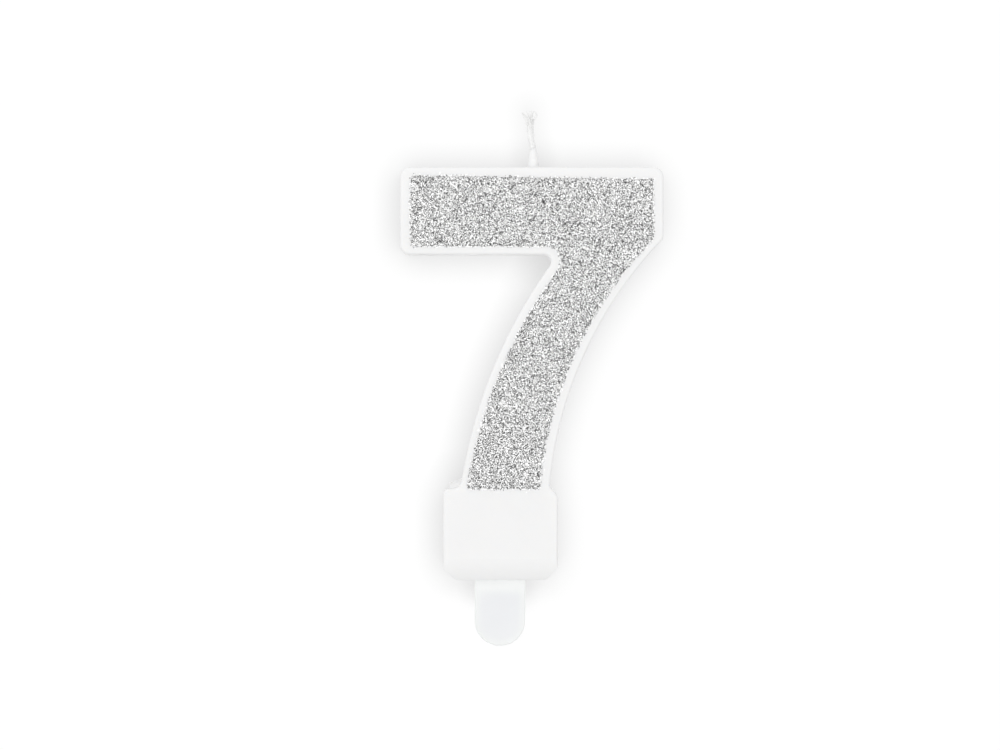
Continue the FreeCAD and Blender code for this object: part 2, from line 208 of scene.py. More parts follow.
class CastSkin(Effect):
    """The slow waves, fine pores and cloudiness of something poured or moulded."""

    def __init__(self) -> None:
        """Builds the group."""
        super().__init__(
            "cast_skin",
            {"Vector": Kind.VECTOR} | dict.fromkeys(("Wave Scale", "Pore Scale", "Pore Share"), Kind.NUMBER),
            {"Height": Kind.NUMBER, "Cloud": Kind.NUMBER},
        )
        where, scale = self.given["Vector"], self.given["Wave Scale"]
        pores = self.times(self.noise(where, self.given["Pore Scale"], 3.0), self.given["Pore Share"])
        height = self.maths("ADD", self.noise(where, scale, 2.0), pores)
        moved = self.vector("ADD", where, (3.1, 1.7, 5.3))["Vector"]
        cloud = self.noise(moved, self.times(scale, 0.6), 4.0)
        self.feed(self.result, {"Height": height, "Cloud": self.remap(cloud, 0.3, 0.7)})


class Handling(Effect):
    """Short faint scuffs in random directions."""

    def __init__(self) -> None:
        """Builds the group."""
        inputs = {"Vector": Kind.VECTOR, "Scale": Kind.NUMBER, "Amount": Kind.NUMBER}
        super().__init__("handling_marks", inputs, {"Marks": Kind.NUMBER})
        where, scale = self.given["Vector"], self.given["Scale"]
        wander = self.add("ShaderNodeTexNoise", {"Vector": where, "Scale": scale, "Detail": 2.0})
        push = self.vector("MULTIPLY", wander.outputs["Color"], (0.006, 0.006, 0.006))["Vector"]
        bent = self.vector("ADD", where, push)["Vector"]
        lines = self.add("ShaderNodeTexVoronoi", {"Vector": bent, "Scale": scale}, feature="DISTANCE_TO_EDGE")
        thin = self.remap(lines.outputs["Distance"], 0.0, 0.035, 1.0, 0.0)
        worn = self.remap(self.noise(where, scale, 1.0), 0.5, 0.72)
        self.feed(self.result, {"Marks": self.times(thin, worn, self.given["Amount"])})


class Foil(Effect):
    """Silver foil: a batch number from 0 to 1 gives each flake its own tone and polish."""

    # The share of flakes at or below each place, and how bright the foil is there.
    tones = ((0.00, 0.05), (0.26, 0.12), (0.40, 0.46), (0.55, 0.84), (0.65, 0.965))

    def __init__(self) -> None:
        """Builds the group."""
        outputs = {"Color": Kind.COLOUR, "Roughness": Kind.NUMBER}
        super().__init__("foil_batches", {"Batch": Kind.NUMBER, "Lift": Kind.NUMBER}, outputs)
        batch = self.given["Batch"]
        ramp = self.add("ShaderNodeValToRGB", {"Fac": batch})
        stops = ramp.color_ramp.elements
        while len(stops) < len(self.tones):
            stops.new(0.5)
        for stop, (place, tone) in zip(stops, self.tones, strict=True):
            stop.position = place
            stop.color = (tone, tone, tone, 1.0)
        lifted = self.blend(self.given["Lift"], ramp.outputs["Color"], (0.95, 0.95, 0.95))
        hue = self.add("ShaderNodeTexWhiteNoise", {"W": batch}, noise_dimensions="1D").outputs["Value"]
        tint = self.blend(hue, (0.985, 0.99, 1.0), (1.0, 0.995, 0.98))
        colour = self.blend(1.0, lifted, tint, "MULTIPLY")
        self.feed(self.result, {"Color": colour, "Roughness": self.remap(hue, 0.0, 1.0, 0.26, 0.42)})


@dataclass
class SharedEffects:
    """The shader groups that several finishes use, each built once."""

    cast_skin: CastSkin = field(default_factory=CastSkin)
    handling: Handling = field(default_factory=Handling)
    foil: Foil = field(default_factory=Foil)


@dataclass
class Finish(Graph):
    """A material and its shader tree, which each finish paints in its own way."""

    name: str
    effects: SharedEffects

    def __post_init__(self) -> None:
        """Opens the material and paints it."""
        self.material = bpy.data.materials.new(self.name)
        self.material.use_nodes = True
        super().__init__(self.material.node_tree)
        self.paint()

    def paint(self) -> None:
        """Sets up the shader tree."""
        raise NotImplementedError

    @cached_property
    def where(self) -> Wire:
        """Where on the object, in metres."""
        return self.add("ShaderNodeTexCoord").outputs["Object"]

    @cached_property
    def axes(self) -> list[Wire]:
        """That place's x, y and z."""
        return list(self.add("ShaderNodeSeparateXYZ", {0: self.where}).outputs)

    def principled(self, values: Values) -> None:
        """Fills the Principled shader's inputs."""
        self.feed(self.tree.nodes["Principled BSDF"], values)

    def place(self, effect: Effect, values: Values) -> Wires:
        """Places a shared effect with this finish's own values, and gives its outputs."""
        return self.add("ShaderNodeGroup", values, node_tree=effect.tree).outputs

    def skin(self, waves: float, pores: float, share: float) -> Wires:
        """Places the cast skin, with its waves and pores in features per metre."""
        values = {"Vector": self.where, "Wave Scale": waves, "Pore Scale": pores, "Pore Share": share}
        return self.place(self.effects.cast_skin, values)

    def marks(self, scale: float, amount: float) -> Wire:
        """Places the handling marks."""
        values = {"Vector": self.where, "Scale": scale, "Amount": amount}
        return self.place(self.effects.handling, values)["Marks"]


@dataclass
class WaxFinish(Finish):
    """Cast white paraffin wax: cloudy, a little translucent, with painted shade that makes the low web by the
    stem greyer.
    """

    colour: Colour = (0.932, 0.932, 0.930)
    cloudy: Colour = (0.918, 0.918, 0.916)
    # Painted shade: the greyer colour that the low web is drawn in.
    web: Colour = (0.86, 0.86, 0.858)
    web_depth: Span = (-4.6 * MM, -4.2 * MM)
    web_heights: Span = (14.5 * MM, 19.0 * MM)
    web_facing: Span = (-0.6, -0.1)
    roughness: float = 0.42
    scuff_roughness: float = 0.12
    bloom_roughness: float = 0.08
    wave_depth: float = 0.09 * MM
    glow: float = 0.35
    glow_depth: float = 1.2 * MM

    def _painted_web_shade_mask(self) -> Wire:
        """Where the wax above the plinth is set back from the front: the low web, which gets painted shade.

        Returns:
            The mask's socket, 1 on the web's front and rounded edge.
        """
        _, deep, high = self.axes
        normal = self.add("ShaderNodeTexCoord").outputs["Normal"]
        facing = self.add("ShaderNodeSeparateXYZ", {0: normal}).outputs[1]
        front = self.remap(facing, *self.web_facing, 1.0, 0.0)
        back = self.remap(deep, *self.web_depth)
        above = self.maths("GREATER_THAN", high, self.web_heights[0])
        below = self.maths("LESS_THAN", high, self.web_heights[1])
        return self.times(front, back, above, below)

    def paint(self) -> None:
        """Makes the wax."""
        skin = self.skin(waves=110.0, pores=2200.0, share=0.05)
        worn = self.times(self.marks(scale=180.0, amount=0.5), self.scuff_roughness)
        bloom = self.times(skin["Cloud"], self.bloom_roughness)
        colour = self.blend(skin["Cloud"], self.colour, self.cloudy)
        # Painted shade: the low web's colour is mixed towards the greyer web colour.
        self.principled({
            "Base Color": self.blend(self._painted_web_shade_mask(), colour, self.web),
            "Roughness": self.maths("ADD", self.maths("ADD", worn, bloom), self.roughness),
            "Normal": self.bump(skin["Height"], self.wave_depth),
            "IOR": 1.44,
            "Subsurface Weight": self.glow,
            "Subsurface Radius": (1.0, 0.97, 0.92),
            "Subsurface Scale": self.glow_depth,
        })


@dataclass
class GlueFinish(Finish):
    """Dried white craft glue under the glitter."""

    colour: Colour = (0.86, 0.86, 0.85)
    cloudy: Colour = (0.8, 0.8, 0.8)
    wave_depth: float = 0.03 * MM

    def paint(self) -> None:
        """Makes the glue."""
        skin = self.skin(waves=700.0, pores=6000.0, share=0.2)
        self.principled({
            "Base Color": self.blend(skin["Cloud"], self.colour, self.cloudy),
            "Roughness": self.remap(skin["Cloud"], 0.0, 1.0, 0.12, 0.25),
            "Normal": self.bump(skin["Height"], self.wave_depth),
        })


@dataclass
class CoatFinish(Finish):
    """The white binder that the flakes are pressed into, dusted with the finest foil."""

    binder: Colour = (0.9, 0.9, 0.9)
    grain: float = 6500.0
    grain_depth: float = 0.04 * MM
    dust: float = 0.35

    def paint(self) -> None:
        """Makes the coat, in which each grain has its own batch of foil, height and polish."""
        grains = self.add("ShaderNodeTexVoronoi", {"Vector": self.where, "Scale": self.grain})
        batch, height, chance = self.add("ShaderNodeSeparateColor", {0: grains.outputs["Color"]}).outputs
        foil = self.place(self.effects.foil, {"Batch": batch, "Lift": 0.3})
        dusted = self.maths("LESS_THAN", chance, self.dust)
        self.principled({
            "Base Color": self.blend(dusted, self.binder, foil["Color"]),
            "Roughness": self.remap(chance, 0.0, 1.0, 0.3, 0.5),
            "Normal": self.bump(height, self.grain_depth),
        })


@dataclass
class FlakeFinish(Finish):
    """Loose foil flakes. Each carries its own batch number."""

    batch: str = "foil_batch"
    metal: float = 0.9

    def paint(self) -> None:
        """Makes the foil."""
        carried = self.add("ShaderNodeAttribute", attribute_name=self.batch)
        foil = self.place(self.effects.foil, {"Batch": carried.outputs["Fac"], "Lift": 0.0})
        self.principled({"Base Color": foil["Color"], "Roughness": foil["Roughness"], "Metallic": self.metal})


@dataclass
class CottonFinish(Finish):
    """Bleached cotton yarn, soaked with wax except where its ends come loose."""

    colour: Colour = (0.955, 0.955, 0.95)
    shade: Colour = (0.905, 0.905, 0.9)
    fineness: float = 14000.0
    stretch: float = 0.15
    patches: float = 0.15
    ridge_depth: float = 0.03 * MM
    soaked: float = 0.6
    dries: Span = (75.8 * MM, 77.4 * MM)
    glow_depth: float = 0.35 * MM

    def paint(self) -> None:
        """Makes the cotton, with fine ridges lengthwise and darker patches."""
        drawn = self.vector("MULTIPLY", self.where, (1.0, 1.0, self.stretch))["Vector"]
        ridges = self.noise(drawn, self.fineness, 3.0)
        patches = self.remap(self.noise(self.where, self.fineness * self.patches, 2.0), 0.35, 0.65)
        self.principled({
            "Base Color": self.blend(patches, self.colour, self.shade),
            "Roughness": self.remap(patches, 0.0, 1.0, 0.6, 0.8),
            "Normal": self.bump(ridges, self.ridge_depth),
            "Sheen Weight": 0.25,
            "Sheen Roughness": 0.4,
            "Subsurface Weight": self.remap(self.axes[2], *self.dries, self.soaked, 0.0),
            "Subsurface Radius": (1.0, 1.0, 1.0),
            "Subsurface Scale": self.glow_depth,
        })


@dataclass
class PickFinish(Finish):
    """Milky food-grade plastic, cooler in the middle and lighter along its rim, with painted light that makes
    it lighter under the wax.
    """

    half_width: float
    round_height: float
    middle: Colour = (0.862, 0.872, 0.891)
    edge: Colour = (0.915, 0.933, 0.924)
    # Painted light: the lighter colour of the pick's top under the plinth, against the plinth's shade.
    painted_light_under_wax: Colour = (0.953, 0.971, 0.963)
    cloudy: Colour = (0.94, 0.95, 0.95)
    cloud_share: float = 0.25
    border: float = 1.7 * MM
    painted_light_span: Span = (-3.2 * MM, -1.2 * MM)
    roughness: float = 0.32
    scuff_roughness: float = 0.25
    wave_depth: float = 0.02 * MM
    clearness: float = 0.92
    glow_depth: float = 0.8 * MM

    def _to_edge(self) -> Wire:
        """How far each point lies inside the pick's outline.

        Returns:
            The distance's socket, in metres.
        """
        across, _, high = self.axes
        drop = self.maths("MINIMUM", self.maths("SUBTRACT", high, self.round_height), 0.0)
        flat = self.add("ShaderNodeCombineXYZ", {0: across, 2: drop}).outputs[0]
        return self.maths("SUBTRACT", self.half_width, self.vector("LENGTH", flat)["Value"])

    def paint(self) -> None:
        """Makes the plastic."""
        skin = self.skin(waves=260.0, pores=7000.0, share=0.06)
        marks = self.marks(scale=420.0, amount=0.6)
        lower = self.blend(self.remap(self._to_edge(), 0.0, self.border), self.edge, self.middle)
        # Painted light: the pick's top is drawn lighter under the wax.
        body = self.blend(self.remap(self.axes[2], *self.painted_light_span), lower, self.painted_light_under_wax)
        self.principled({
            "Base Color": self.blend(self.times(skin["Cloud"], self.cloud_share), body, self.cloudy),
            "Roughness": self.maths("ADD", self.times(marks, self.scuff_roughness), self.roughness),
            "Normal": self.bump(skin["Height"], self.wave_depth),
            "IOR": 1.49,
            "Transmission Weight": self.clearness,
            "Subsurface Weight": 0.6,
            "Subsurface Radius": (0.9, 0.97, 1.0),
            "Subsurface Scale": self.glow_depth,
        })


@dataclass(frozen=True)
class Shade:
    """A soft shade: how far it reaches, how deep it is and the power by which it fades."""

    reach: float
    depth: float
    falloff: float


@dataclass
class SheetFinish(Finish):
    """The white sheet behind the candle. It keeps a soft shade close to the wax and the wick."""

    wick_foot: Vector
    wick_tip: Vector
    paper: float = 0.08
    glow: float = 0.937
    lean: Place = (0.16, -1.0, -0.045)
    high_shade: Shade = Shade(6.0 * MM, 0.184, 1.2)
    low_shade: Shade = Shade(5.7 * MM, 0.245, 1.25)
    wick_shade: Shade = Shade(5.2 * MM, 0.08, 1.2)
    high_from: Span = (-2.0 * MM, 0.0)
    low_from: Span = (-6.5 * MM, -3.0 * MM)

    def _by_wax(self, shade: Shade, share: Value) -> Wire:
        """How much the wax and the pick shade each place on the sheet.

        Args:
            shade: The shade's measures.
            share: How much of it there is at each place.

        Returns:
            The shade's socket, 0 in the open.
        """
        way = self.add("ShaderNodeCombineXYZ", dict(enumerate(Vector(self.lean).normalized())))
        values = {"Distance": shade.reach, "Normal": way.outputs[0]}
        opening = self.add("ShaderNodeAmbientOcclusion", values, samples=8).outputs["AO"]
        near = self.times(self.maths("SUBTRACT", 1.0, opening), 2.0)
        return self.times(self.maths("POWER", near, shade.falloff), share, shade.depth)

    def _by_wick(self) -> Wire:
        """How much the wick shades each place on the sheet.

        Returns:
            The shade's socket, 0 in the open.
        """
        run = self.wick_tip - self.wick_foot
        run.y = 0.0
        flat = self.vector("MULTIPLY", self.where, (1.0, 0.0, 1.0))["Vector"]
        away = self.vector("SUBTRACT", flat, (self.wick_foot.x, 0.0, self.wick_foot.z))["Vector"]
        reached = self.vector("DOT_PRODUCT", away, tuple(run / run.length_squared))["Value"]
        share = self.maths("MULTIPLY", reached, 1.0, clamp=True)
        along = self.vector("MULTIPLY", tuple(run), share)["Vector"]
        far = self.maths("DIVIDE", self.vector("DISTANCE", away, along)["Value"], self.wick_shade.reach)
        near = self.maths("SUBTRACT", 1.0, far, clamp=True)
        return self.times(self.maths("POWER", near, self.wick_shade.falloff), self.wick_shade.depth)

    def paint(self) -> None:
        """Makes the sheet, which is clear from behind."""
        above = self.remap(self.axes[2], *self.high_from)
        below = self.maths("SUBTRACT", self.remap(self.axes[2], *self.low_from), above)
        upper, lower = self._by_wax(self.high_shade, above), self._by_wax(self.low_shade, below)
        shade = self.maths("ADD", self.maths("ADD", upper, lower), self._by_wick())
        left = self.times(self.maths("SUBTRACT", 1.0, shade, clamp=True), self.glow)
        paper = self.add("ShaderNodeBsdfDiffuse", {"Color": (self.paper,) * 3})
        white = self.add("ShaderNodeEmission", {"Strength": left})
        lit = self.add("ShaderNodeAddShader", {0: paper.outputs[0], 1: white.outputs[0]})
        clear = self.add("ShaderNodeBsdfTransparent")
        side = self.add("ShaderNodeNewGeometry").outputs["Backfacing"]
        one_sided = self.add("ShaderNodeMixShader", {0: side, 1: lit.outputs[0], 2: clear.outputs[0]})
        nodes = self.tree.nodes
        nodes.remove(nodes["Principled BSDF"])
        self.feed(nodes["Material Output"], {"Surface": one_sided.outputs[0]})
        self.material.cycles.emission_sampling = "NONE"


# Meshes


def unit(vectors: Array) -> Array:
    """The same directions at length 1."""
    return vectors / np.linalg.norm(vectors, axis=-1, keepdims=True)


def even_turns(sides: int) -> Array:
    """The turns of evenly spaced corners."""
    return np.arange(sides) * TURN / sides


def circle(turns: Array, across: Array, up: Array) -> Array:
    """Points round a circle of radius 1, at the given turns from across to up."""
    return np.cos(turns)[..., None] * across + np.sin(turns)[..., None] * up


def smooth_line(points: Sequence[Sequence[float]], step: float) -> Array:
    """Rounds off a line through a few points.

    Args:
        points: The points that it passes through.
        step: About how far apart the new points lie.

    Returns:
        The points of the rounded line.
    """
    knots = np.array(points, float)
    ends = np.concatenate([[2 * knots[0] - knots[1]], knots, [2 * knots[-1] - knots[-2]]])
    runs = []
    for first, start, end, last in zip(ends, ends[1:], ends[2:], ends[3:], strict=False):
        count = max(2, round(float(np.linalg.norm(end - start)) / step))
        t = (np.arange(count) / count)[:, None]
        run = 2 * start + (end - first) * t
        run += (2 * first - 5 * start + 4 * end - last) * t**2
        run += (3 * start - first - 3 * end + last) * t**3
        runs.append(0.5 * run)
    return np.concatenate([*runs, knots[-1:]])


def vertices_of(node: Thing) -> Array:
    """A node's vertices, in metres."""
    return np.array([vertex.co for vertex in node.data.vertices], float)


def add_thing(name: str, data: bpy.types.ID) -> Thing:
    """Puts a mesh, a lamp or a camera into the scene.

    Args:
        name: Its name there.
        data: The mesh, lamp or camera.

    Returns:
        The new object.
    """
    thing = bpy.data.objects.new(name, data)
    bpy.context.scene.collection.objects.link(thing)
    return thing


def put_on_candle(mesh: bpy.types.Mesh, material: Material) -> Thing:
    """Makes a mesh a piece that rides on the candle.

    Args:
        mesh: The mesh, which has the piece's name.
        material: Its finish.

    Returns:
        The piece.
    """
    piece = add_thing(mesh.name, mesh)
    mesh.materials.append(material)
    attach(piece, BODY)
    log.info("%s: %d faces", piece.name, len(mesh.polygons))
    return piece


def dress(node: Thing, material: Material) -> None:
    """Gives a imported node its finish.

    Args:
        node: The node's object.
        material: Its finish.
    """
    for slot in node.material_slots:
        slot.material = material
    log.info("%s: dressed in %s", node.name, material.name)


@dataclass
class MeshStock:
    """Vertices and faces gathered for one piece."""

    points: list[Array] = field(default_factory=list)
    faces: list[Sequence[int]] = field(default_factory=list)
    count: int = 0

    def sleeve(self, rings: list[Array]) -> None:
        """Adds a tube with both ends closed.

        Args:
            rings: Its rings of vertices from end to end, in metres, all with as many vertices.
        """
        sides = len(rings[0])
        first, last = self.count, self.count + (len(rings) - 1) * sides
        for low in range(first, last, sides):
            high = low + sides
            for side in range(sides):
                after = (side + 1) % sides
                self.faces.append((low + side, low + after, high + after, high + side))
        self.faces.append(range(first, first + sides)[::-1])
        self.faces.append(range(last, last + sides))
        self.points.extend(rings)
        self.count = last + sides

    def tube(self, line: Array, radii: Array, sides: int) -> None:
        """Adds a round tube with both ends closed.

        Args:
            line: The points that it follows.
            radii: Its radius at each point.
            sides: How many sides it has.
        """
        ways = unit(np.gradient(line, axis=0))
        across = np.cross(ways[0], FORWARD)
        turns = even_turns(sides)
        rings = []
        for place, way, radius in zip(line, ways, radii, strict=True):
            across = unit(across - way * across.dot(way))
            rings.append(place + radius * circle(turns, across, np.cross(way, across)))
        self.sleeve(rings)

    def piece(self, name: str, slot: Slot, material: Material) -> Thing:
        """Makes the gathered forms into one smooth piece of the candle.

        Args:
            name: The piece's name.
            slot: Not used.
            material: Its finish.

        Returns:
            The piece.
        """
        mesh = bpy.data.meshes.new(name)
        mesh.from_pydata(np.concatenate(self.points).tolist(), [], self.faces)
        mesh.polygons.foreach_set("use_smooth", [True] * len(mesh.polygons))
        mesh.update()
        return put_on_candle(mesh, material)


# Sub-assemblies


@dataclass
class SinglePiece:
    """A sub-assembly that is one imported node."""

    node: Thing
    finish: Finish

    def build(self) -> None:
        """Dresses the node."""
        dress(self.node, self.finish.material)


class WaxDigit(SinglePiece):
    """The cast wax seven on its plinth."""


class CakePick(SinglePiece):
    """The plastic pick that goes into the cake."""


class Front:
    """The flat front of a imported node, which flakes can lie on."""

    steepest: float = -0.95
    flatness: float = 0.05 * MM
    ray_start: float = -0.05

    def __init__(self, node: Thing) -> None:
        """Reads the front from the node's mesh.

        Args:
            node: The node's object.
        """
        self.points = vertices_of(node)
        self.level = float(self.points[:, 1].min())
        facing = (list(p.vertices) for p in node.data.polygons if p.normal.y < self.steepest)
        deepest = self.level + self.flatness
        self.faces = [corners for corners in facing if self.points[corners, 1].max() < deepest]
        self.tree = BVHTree.FromPolygons(self.points.tolist(), self.faces)

    def under(self, places: Array) -> Array:
        """Whether the front lies behind each (x, z) place."""
        rays = (self.tree.ray_cast(Vector((x, self.ray_start, z)), Vector((0, 1, 0))) for x, z in places)
        return np.array([hit is not None for hit, *_ in rays])

    def border(self) -> Array:
        """Finds the front's border.

        Returns:
            Its edges, each as a pair of (x, z) points.
        """
        places = [tuple(place) for place in np.round(self.points[:, ::2], 7)]
        sides = (side for face in self.faces for side in zip(face, face[1:] + face[:1], strict=True))
        seen = Counter(tuple(sorted((places[a], places[b]))) for a, b in sides)
        return np.array([edge for edge, times in seen.items() if times == 1])


@dataclass
class GlitterFace:
    """The glitter face: glue, a bed of fine foil, and loose flakes that reach the rim."""

    coat: Thing
    glue: Thing
    wax: Thing
    coat_finish: CoatFinish
    glue_finish: GlueFinish
    flake_finish: FlakeFinish
    pitch: float = 0.105 * MM
    flake_sides: int = 6
    flake_radius: Span = (0.078 * MM, 0.102 * MM)
    tilt: float = 0.3
    lift: Span = (0.03 * MM, 0.13 * MM)
    fringe: Span = (0.3 * MM, 0.3 * MM)
    soft_fringe: Span = (0.38 * MM, 1.1 * MM)
    soft_zone: float = 1.4 * MM
    strays: int = 150
    stray_tries: int = 200
    stray_reach: float = 0.22 * MM
    stray_lift: float = 0.03 * MM
    stray_tilt: float = 0.22
    batches: int = 1024
    seed: int = 7

    def __post_init__(self) -> None:
        """Reads the fronts that the flakes lie on."""
        self.rng = np.random.default_rng(self.seed)
        self.bed, self.rim = Front(self.coat), Front(self.wax)
        self.border = self.bed.border()
        self.low, self.high = self.border.min((0, 1)), self.border.max((0, 1))

    def _to_border(self, places: Array) -> Array:
        """How far each place lies from the border.

        Args:
            places: Points as (x, z).

        Returns:
            The distances, in metres.
        """
        nearest = np.full(len(places), np.inf)
        for start, end in self.border:
            way = end - start
            share = np.clip((places - start) @ way / way.dot(way), 0, 1)
            nearest = np.minimum(nearest, np.linalg.norm(places - start - share[:, None] * way, axis=1))
        return nearest

    def _notch(self) -> float:
        """The height of the bar's underside: the lowest of the border's left end."""
        left = self.border[..., 0] < self.low[0] + MM
        return float(self.border[left][:, 1].min())

    def _flakes(self, places: Array, heights: Array, tilt: float | Array) -> Array:
        """Shapes the flakes: small hexagons, each tipped its own way.

        Args:
            places: Their middles as (x, z).
            heights: Their middles' y.
            tilt: How far they tip, as a spread of slopes, for all or for each.

        Returns:
            The corners of each flake.
        """
        count = len(places)
        slopes = (self.rng.normal(0, 1, (count, 2)).T * tilt).T.clip(-1, 1)
        normals = unit(np.stack([slopes[:, 0], -np.ones(count), slopes[:, 1]], 1))
        across = unit(np.cross(normals, (0.0, 0.0, 1.0)))
        middles = np.stack([places[:, 0], heights, places[:, 1]], 1)
        radii = self.rng.uniform(*self.flake_radius, count)[:, None, None]
        turns = self.rng.uniform(0, math.pi, count)[:, None] + even_turns(self.flake_sides)
        return middles[:, None] + radii * circle(turns, across[:, None], np.cross(normals, across)[:, None])

    def _scatter(self, name: str, corners: Array, batch: Array) -> None:
        """Makes one piece of many flakes, with a batch number and a place on the bake map for each.

        Args:
            name: The piece's name.
            corners: The corners of each flake.
            batch: Each flake's batch, from 0 to the number of batches.
        """
        count, sides = corners.shape[:2]
        mesh = bpy.data.meshes.new(name)
        mesh.vertices.add(count * sides)
        mesh.vertices.foreach_set("co", corners.astype(np.float32).ravel())
        mesh.loops.add(count * sides)
        mesh.loops.foreach_set("vertex_index", np.arange(count * sides, dtype=np.int32))
        mesh.polygons.add(count)
        mesh.polygons.foreach_set("loop_start", np.arange(count, dtype=np.int32) * sides)
        mesh.update(calc_edges=True)
        carried = mesh.attributes.new(self.flake_finish.batch, "FLOAT", "FACE")
        carried.data.foreach_set("value", ((batch + 0.5) / self.batches).astype(np.float32))
        row = round(math.sqrt(self.batches))
        cells = np.stack([batch % row, batch // row], 1) + 0.5
        spots = cells[:, None] + 0.4 * circle(even_turns(sides), *np.eye(2))
        layer = mesh.uv_layers.new(name="OFBake")
        layer.uv.foreach_set("vector", (spots / row).astype(np.float32).ravel())
        put_on_candle(mesh, self.flake_finish.material)

    def _cover(self) -> None:
        """Covers the bed with flakes that thin out across its border, more softly at the top and left."""
        past = max(self.fringe[0], self.soft_fringe[0])
        spans = zip(self.low - past, self.high + past, strict=True)
        grid = np.stack(np.meshgrid(*(np.arange(a, b, self.pitch) for a, b in spans)), -1).reshape(-1, 2)
        grid += self.rng.uniform(-0.5, 0.5, grid.shape) * self.pitch
        inside = self.bed.under(grid)
        depth = self._to_border(grid) * np.where(inside, 1, -1)
        soft = (grid[:, 1] > self.high[1] - self.soft_zone) | (grid[:, 0] < self.low[0] + self.soft_zone)
        out, full = (np.where(soft, a, b) for a, b in zip(self.soft_fringe, self.fringe, strict=True))
        kept = self.rng.uniform(0, 1, len(grid)) < (depth + out) / (out + full)
        kept &= inside | self.rim.under(grid)
        grid, inside = grid[kept], inside[kept]
        lifts = self.rng.uniform(*self.lift, len(grid))
        heights = np.where(inside, self.bed.level - lifts, self.rim.level - self.stray_lift)
        corners = self._flakes(grid, heights, np.where(inside, self.tilt, self.stray_tilt))
        batch = self.rng.integers(0, self.batches, len(grid))
        bar = grid[:, 1] > self._notch()
        self._scatter("bar_flakes", corners[bar], batch[bar])
        self._scatter("stem_flakes", corners[~bar], batch[~bar])

    def _stray(self) -> None:
        """Drops a few bright flakes on the rim, most of them close to the border."""
        reach = 4 * self.stray_reach
        places = self.rng.uniform(self.low - reach, self.high + reach, (self.stray_tries * self.strays, 2))
        away = self._to_border(places)
        near = self.rng.uniform(0, 1, len(places)) < np.exp(-away / self.stray_reach)
        places = places[near & (away < reach)]
        places = places[self.rim.under(places)][: self.strays]
        heights = np.full(len(places), self.rim.level - self.stray_lift)
        corners = self._flakes(places, heights, self.stray_tilt)
        batch = (self.batches * self.rng.uniform(0.5, 1, len(places))).astype(int)
        self._scatter("glitter_strays", corners, batch)

    def build(self) -> None:
        """Dresses the two layers and lays the flakes."""
        dress(self.glue, self.glue_finish.material)
        dress(self.coat, self.coat_finish.material)
        self._cover()
        self._stray()


@dataclass(frozen=True)
class TipCourse:
    """Where the loose ends of some of a ply's yarns go, in millimetres from where the ply opens."""

    steps: tuple[Place, ...]
    yarns: int
    spread: float
    end: float


LEFT_FROND = (
    (-0.1, -0.05, 0.72),
    (-0.17, -0.1, 1.2),
    (-0.38, -0.15, 1.85),
    (-0.68, -0.15, 2.6),
    (-1.12, -0.15, 3.35),
)
RIGHT_LOOP = (
    *((0.12, 0.0, 0.95), (0.3, -0.05, 1.85), (0.58, -0.1, 2.35), (0.83, -0.15, 2.85)),
    *((0.58, -0.15, 3.4), (0.28, -0.15, 3.48), (0.06, -0.15, 2.95), (0.04, -0.15, 2.6)),
)
MIDDLE_LEFT = ((0.0, 0.0, 1.0), (-0.1, 0.0, 2.1), (-0.3, 0.05, 3.0), (-0.45, 0.05, 3.6))
MIDDLE_RIGHT = ((0.05, 0.0, 1.0), (0.1, 0.05, 2.1), (0.05, 0.1, 3.1), (0.0, 0.1, 3.8))
SHORT_LEFT = ((-0.1, 0.0, 0.9), (-0.3, 0.1, 1.8), (-0.5, 0.1, 2.5))
SHORT_RIGHT = ((0.0, 0.0, 0.9), (0.1, 0.05, 1.7), (0.2, 0.05, 2.4))

# The loose ends of the left, middle and right ply.
LOOSE_ENDS = (
    (
        TipCourse(LEFT_FROND, yarns=5, spread=0.2, end=0.8),
        TipCourse(SHORT_LEFT, yarns=2, spread=0.14, end=0.5),
    ),
    (
        TipCourse(MIDDLE_LEFT, yarns=3, spread=0.25, end=0.4),
        TipCourse(MIDDLE_RIGHT, yarns=4, spread=0.25, end=0.4),
    ),
    (
        TipCourse(RIGHT_LOOP, yarns=2, spread=0.09, end=0.65),
        TipCourse(SHORT_RIGHT, yarns=5, spread=0.18, end=0.4),
    ),
)

# How far the wick stands to the side at heights above the wax, in millimetres.
SWAY = ((0.0, -0.05), (1.2, 0.14), (2.4, 0.17), (3.5, 0.12), (5.0, 0.03), (6.5, 0.0))

# The radius of the drawn-up wax at heights above the wax, in millimetres.
MENISCUS = (
    *((1.10, -0.28), (1.12, -0.05), (1.30, 0.015), (1.10, 0.10), (0.99, 0.35), (0.88, 1.0)),
    *((0.80, 1.7), (0.72, 2.4), (0.65, 3.0), (0.57, 3.5), (0.46, 3.7)),
)


